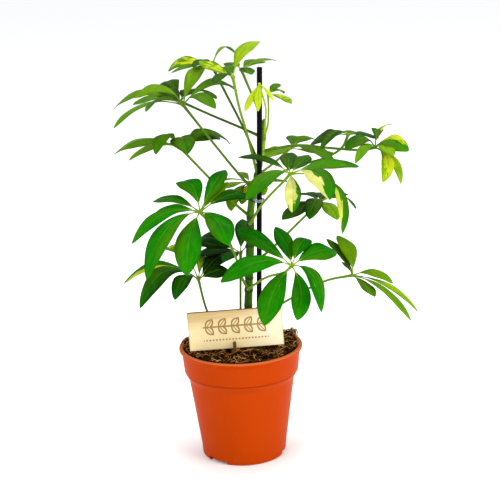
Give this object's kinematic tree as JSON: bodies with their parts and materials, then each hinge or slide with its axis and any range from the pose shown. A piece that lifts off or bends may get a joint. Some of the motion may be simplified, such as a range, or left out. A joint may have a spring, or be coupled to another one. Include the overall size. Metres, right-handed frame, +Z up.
{
  "type": "potted umbrella plant",
  "caption": "House plant with palmate, partly variegated leaves on a staked stem, standing in a terracotta-coloured plastic nursery pot with a bare plywood sign.",
  "frame": {"origin": "centre of the underside of the pot, on the surface it stands on", "axes": "+Z up, +X to the right in the picture, -Y towards its viewer"},
  "size_m": [0.2862, 0.2081, 0.3992],
  "materials": {
    "pot_plastic": "terracotta-coloured injection-moulded polypropylene, satin",
    "compost": "moist coir and peat compost with pale fibres, matt",
    "stem": "green semi-woody stem",
    "stake_plastic": "black plastic-coated cane",
    "tie_plastic": "clear plastic clip",
    "plywood": "laser-cut birch plywood with burnt edges",
    "leaf_green": "glossy green leaf",
    "leaf_light": "young light green leaf",
    "leaf_dark": "old dark green leaf",
    "leaf_variegated": "green leaf with cream and yellow patches",
    "leaf_young": "soft yellow-green new leaf"
  },
  "bodies": {
    "root": {"pot": "pot_plastic", "soil": "compost", "main_stem": "stem", "stake": "stake_plastic", "tie": "tie_plastic", "sign_plate": "plywood", "sign_peg": "plywood", "leaf_top_left": "leaf_light", "leaf_top_left_back": "leaf_variegated", "leaf_top_right": "leaf_light", "leaf_upper_left": "leaf_green", "leaf_upper_left_back": "leaf_green", "leaf_middle_left": "leaf_green", "leaf_front_left": "leaf_green", "leaf_back_middle": "leaf_light", "leaf_front_right": "leaf_variegated", "leaf_right_back": "leaf_dark", "leaf_far_right": "leaf_variegated", "leaf_right_shoulder": "leaf_dark", "leaf_back_right": "leaf_light", "leaf_front_low": "leaf_green", "leaf_low_right": "leaf_green", "leaf_low_left": "leaf_dark", "leaf_centre_back": "leaf_dark", "leaf_young_tip": "leaf_young", "leaf_young_side": "leaf_young"}
  },
  "joints": []
}
